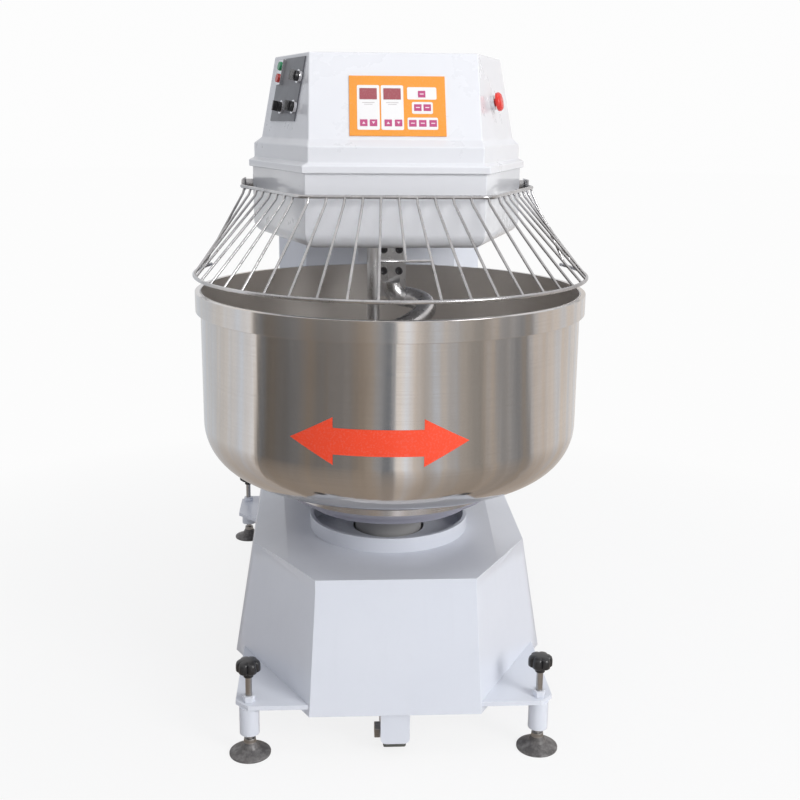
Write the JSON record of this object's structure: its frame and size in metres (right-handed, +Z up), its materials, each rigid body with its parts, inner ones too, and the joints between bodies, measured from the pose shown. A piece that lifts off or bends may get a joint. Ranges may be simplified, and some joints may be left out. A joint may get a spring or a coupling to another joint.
{
  "type": "spiral dough mixer",
  "caption": "Floor-standing spiral dough mixer with a rotating stainless bowl, spiral hook, breaker bar, tilting wire guard, sloping control head and levelling feet",
  "frame": {"origin": "on the floor, under the middle of the bounding box", "axes": "+Z up, the bowl and the control panel face -Y, +X to the right seen from the front"},
  "size_m": [0.904, 1.4805, 1.475],
  "materials": {
    "white_paint": "gloss white powder coat",
    "head_shell": "white gel coat",
    "stainless": "polished stainless sheet",
    "forged_steel": "polished stainless bar",
    "chrome": "bright chrome",
    "steel": "machined steel",
    "frame_paint": "grey primer",
    "motor_paint": "blue-grey paint",
    "black_plastic": "moulded",
    "box_plastic": "moulded",
    "plate_grey": "anodised look",
    "belt_rubber": "ribbed",
    "wheel_tyre": "moulded",
    "orange_film": "printed film",
    "display_film": "dark red window",
    "key_film": "printed film",
    "arrow_film": "adhesive film",
    "red_plastic": "moulded",
    "green_plastic": "moulded"
  },
  "bodies": {
    "chassis": {"base_plate": "white_paint", "base_casing": "white_paint", "column_casing": "white_paint", "rear_cover": "white_paint", "cover_screws": "chrome", "head_pan": "head_shell", "head_cover": "head_shell", "support_frame": "frame_paint", "bowl_collar": "white_paint", "bowl_bearing_housing": "frame_paint", "spindle_housing": "frame_paint", "shaft_bearings": "steel", "spiral_motor": "motor_paint", "bowl_motor": "motor_paint", "drive_belts": "belt_rubber", "electrical_box": "box_plastic", "cable_gland": "black_plastic", "breaker_bar": "forged_steel", "control_panel": "orange_film", "panel_displays": "display_film", "panel_keys": "key_film", "switch_plate": "plate_grey", "switch_bezels": "chrome", "jack_sleeves": "white_paint", "wheel_brackets": "white_paint", "wheel_axles": "steel", "guard_hinge_brackets": "steel"},
    "bowl": {"bowl_shell": "stainless", "rim_band": "stainless", "direction_arrow": "arrow_film", "bowl_turntable": "steel", "bowl_shaft": "steel", "bowl_pulley": "steel"},
    "spiral": {"spiral_hook": "forged_steel", "spindle": "forged_steel", "palm_screws": "chrome", "spindle_pulley": "steel"},
    "bowl_drive": {"bowl_motor_pulley": "steel"},
    "spiral_drive": {"spiral_motor_pulley": "steel"},
    "guard": {"guard_upper_ring": "chrome", "guard_lower_ring": "chrome", "guard_wires": "chrome", "guard_hinge_arms": "steel"},
    "front_wheel_body": {"front_wheel": "wheel_tyre"},
    "rear_wheel_left_body": {"rear_wheel_left": "wheel_tyre"},
    "rear_wheel_right_body": {"rear_wheel_right": "wheel_tyre"},
    "green_push": {"green_button": "green_plastic"},
    "red_push": {"red_button": "red_plastic"},
    "upper_selector": {"selector_upper": "black_plastic"},
    "lower_selector": {"selector_lower": "black_plastic"},
    "rear_selector": {"selector_rear": "black_plastic"},
    "stop_button": {"emergency_stop": "red_plastic"},
    "jack_front_left": {"jack_foot_front_left": "steel", "jack_grip_front_left": "black_plastic"},
    "jack_front_right": {"jack_foot_front_right": "steel", "jack_grip_front_right": "black_plastic"},
    "jack_rear_left": {"jack_foot_rear_left": "steel", "jack_grip_rear_left": "black_plastic"},
    "jack_rear_right": {"jack_foot_rear_right": "steel", "jack_grip_rear_right": "black_plastic"}
  },
  "joints": [
    {"name": "bowl_spin", "type": "hinge", "parent": "chassis", "child": "bowl", "pos_m": [0, -0.3, 0.55], "axis": [0, 0, 1], "continuous": true},
    {"name": "spiral_spin", "type": "hinge", "parent": "chassis", "child": "spiral", "pos_m": [0.012, -0.085, 1.2], "axis": [0, 0, 1], "continuous": true},
    {"name": "bowl_drive_spin", "type": "hinge", "parent": "chassis", "child": "bowl_drive", "pos_m": [0, 0.32, 0.2], "axis": [0, 0, 1], "continuous": true},
    {"name": "spiral_drive_spin", "type": "hinge", "parent": "chassis", "child": "spiral_drive", "pos_m": [0.012, 0.49, 1.33], "axis": [0, 0, 1], "continuous": true},
    {"name": "guard_tilt", "type": "hinge", "parent": "chassis", "child": "guard", "pos_m": [0, -0.05, 1.186], "axis": [-1, 0, 0], "range_deg": [0, 65]},
    {"name": "front_wheel_spin", "type": "hinge", "parent": "chassis", "child": "front_wheel_body", "pos_m": [0, -0.606, 0.039], "axis": [1, 0, 0], "continuous": true},
    {"name": "rear_wheel_left_spin", "type": "hinge", "parent": "chassis", "child": "rear_wheel_left_body", "pos_m": [-0.24, 0.58, 0.039], "axis": [1, 0, 0], "continuous": true},
    {"name": "rear_wheel_right_spin", "type": "hinge", "parent": "chassis", "child": "rear_wheel_right_body", "pos_m": [0.24, 0.58, 0.039], "axis": [1, 0, 0], "continuous": true},
    {"name": "green_press", "type": "slide", "parent": "chassis", "child": "green_push", "axis": [0.9217, 0.333, -0.199], "range_m": [0, 0.0035], "stiffness_N_per_m": 600},
    {"name": "red_press", "type": "slide", "parent": "chassis", "child": "red_push", "axis": [0.9217, 0.333, -0.199], "range_m": [0, 0.0035], "stiffness_N_per_m": 600},
    {"name": "upper_selector_turn", "type": "hinge", "parent": "chassis", "child": "upper_selector", "pos_m": [-0.19427, -0.34218, 1.42442], "axis": [-0.9217, -0.333, 0.199], "range_deg": [-45, 45]},
    {"name": "lower_selector_turn", "type": "hinge", "parent": "chassis", "child": "lower_selector", "pos_m": [-0.20625, -0.34651, 1.3617], "axis": [-0.9217, -0.333, 0.199], "range_deg": [-45, 45]},
    {"name": "rear_selector_turn", "type": "hinge", "parent": "chassis", "child": "rear_selector", "pos_m": [-0.23479, -0.2675, 1.3617], "axis": [-0.9217, -0.333, 0.199], "range_deg": [-45, 45]},
    {"name": "stop_press", "type": "slide", "parent": "chassis", "child": "stop_button", "axis": [-0.9217, 0.333, -0.199], "range_m": [0, 0.0035]},
    {"name": "jack_front_left_height", "type": "slide", "parent": "chassis", "child": "jack_front_left", "axis": [0, 0, -1], "range_m": [-0.006, 0.043]},
    {"name": "jack_front_right_height", "type": "slide", "parent": "chassis", "child": "jack_front_right", "axis": [0, 0, -1], "range_m": [-0.006, 0.043]},
    {"name": "jack_rear_left_height", "type": "slide", "parent": "chassis", "child": "jack_rear_left", "axis": [0, 0, -1], "range_m": [-0.006, 0.043]},
    {"name": "jack_rear_right_height", "type": "slide", "parent": "chassis", "child": "jack_rear_right", "axis": [0, 0, -1], "range_m": [-0.006, 0.043]}
  ],
  "couplings": [
    {"joint": "bowl_drive_spin", "follows": "bowl_spin", "ratio": 3.1667},
    {"joint": "spiral_drive_spin", "follows": "spiral_spin", "ratio": 4}
  ]
}
